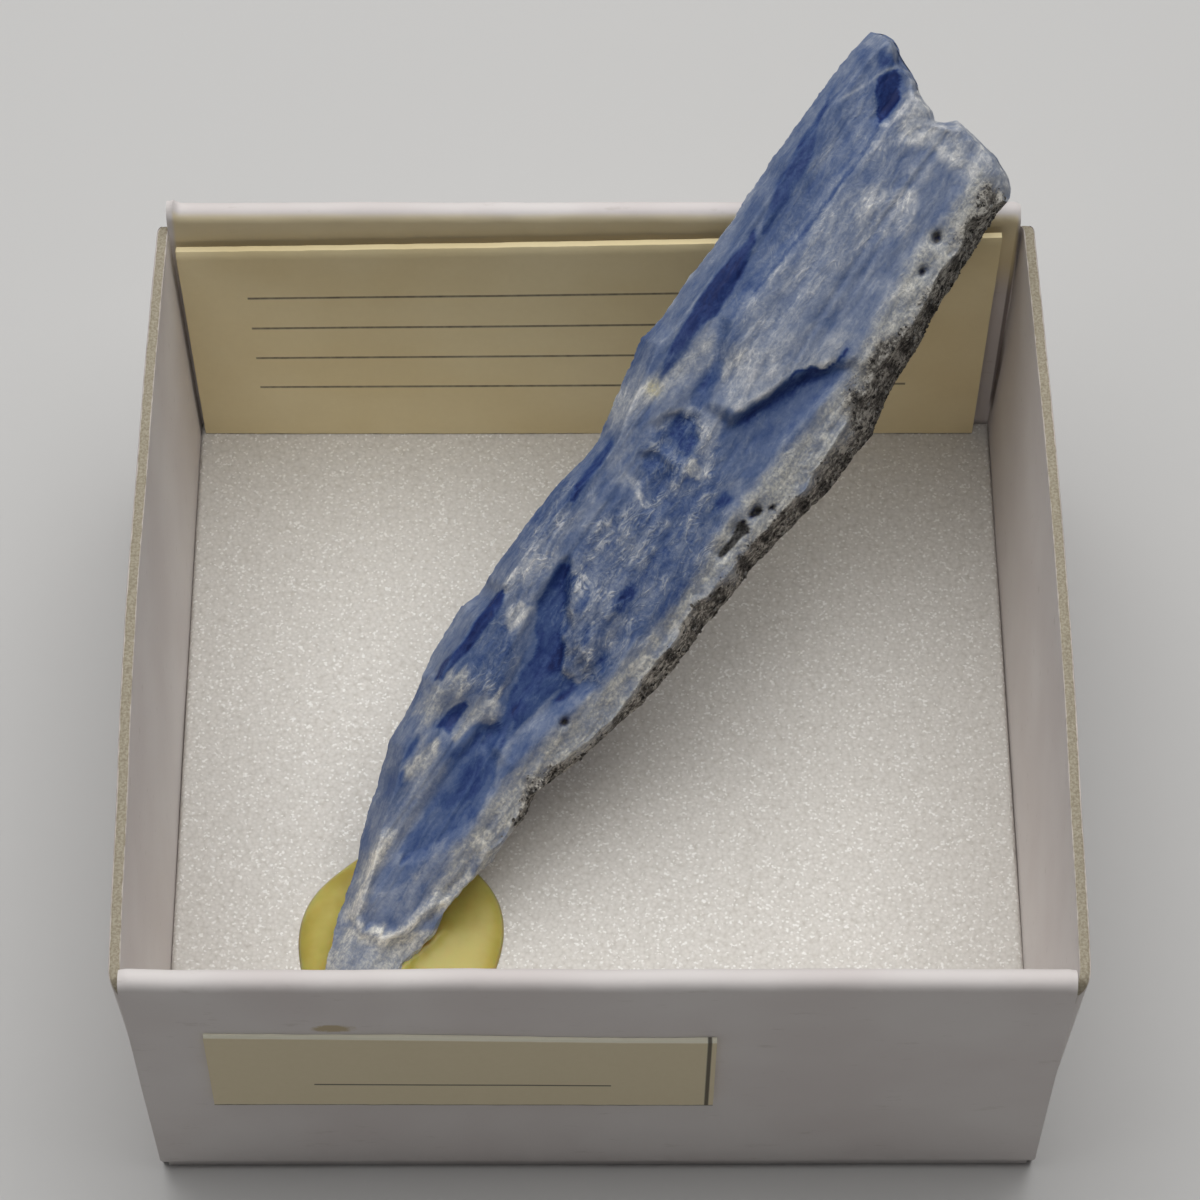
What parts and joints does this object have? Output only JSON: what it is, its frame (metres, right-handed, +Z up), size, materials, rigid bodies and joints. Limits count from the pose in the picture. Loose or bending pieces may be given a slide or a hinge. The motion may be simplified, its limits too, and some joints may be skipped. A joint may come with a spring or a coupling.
{
  "type": "kyanite blade cluster in a specimen tray",
  "caption": "Flat blue mineral blades grown together, glued by the foot on foam in a square card tray, with a name card at the back and a label in front.",
  "frame": {"origin": "centre of the flat underside of the card tray, which stands on a table", "axes": "+Z up, out of the tray; -Y towards the front wall that carries the number label; +X to the right seen from the front, the side that the blades lean towards"},
  "size_m": [0.0422, 0.0467, 0.0281],
  "materials": {
    "kyanite": "satin",
    "white_card": "matte",
    "white_foam": "matte",
    "yellow_glue": "gloss",
    "cream_card": "matte",
    "cream_paper": "matte"
  },
  "bodies": {
    "root": {"kyanite_blades": "kyanite", "card_tray": "white_card", "foam_pad": "white_foam", "glue_dab": "yellow_glue", "name_card": "cream_card", "number_label": "cream_paper"}
  },
  "joints": []
}
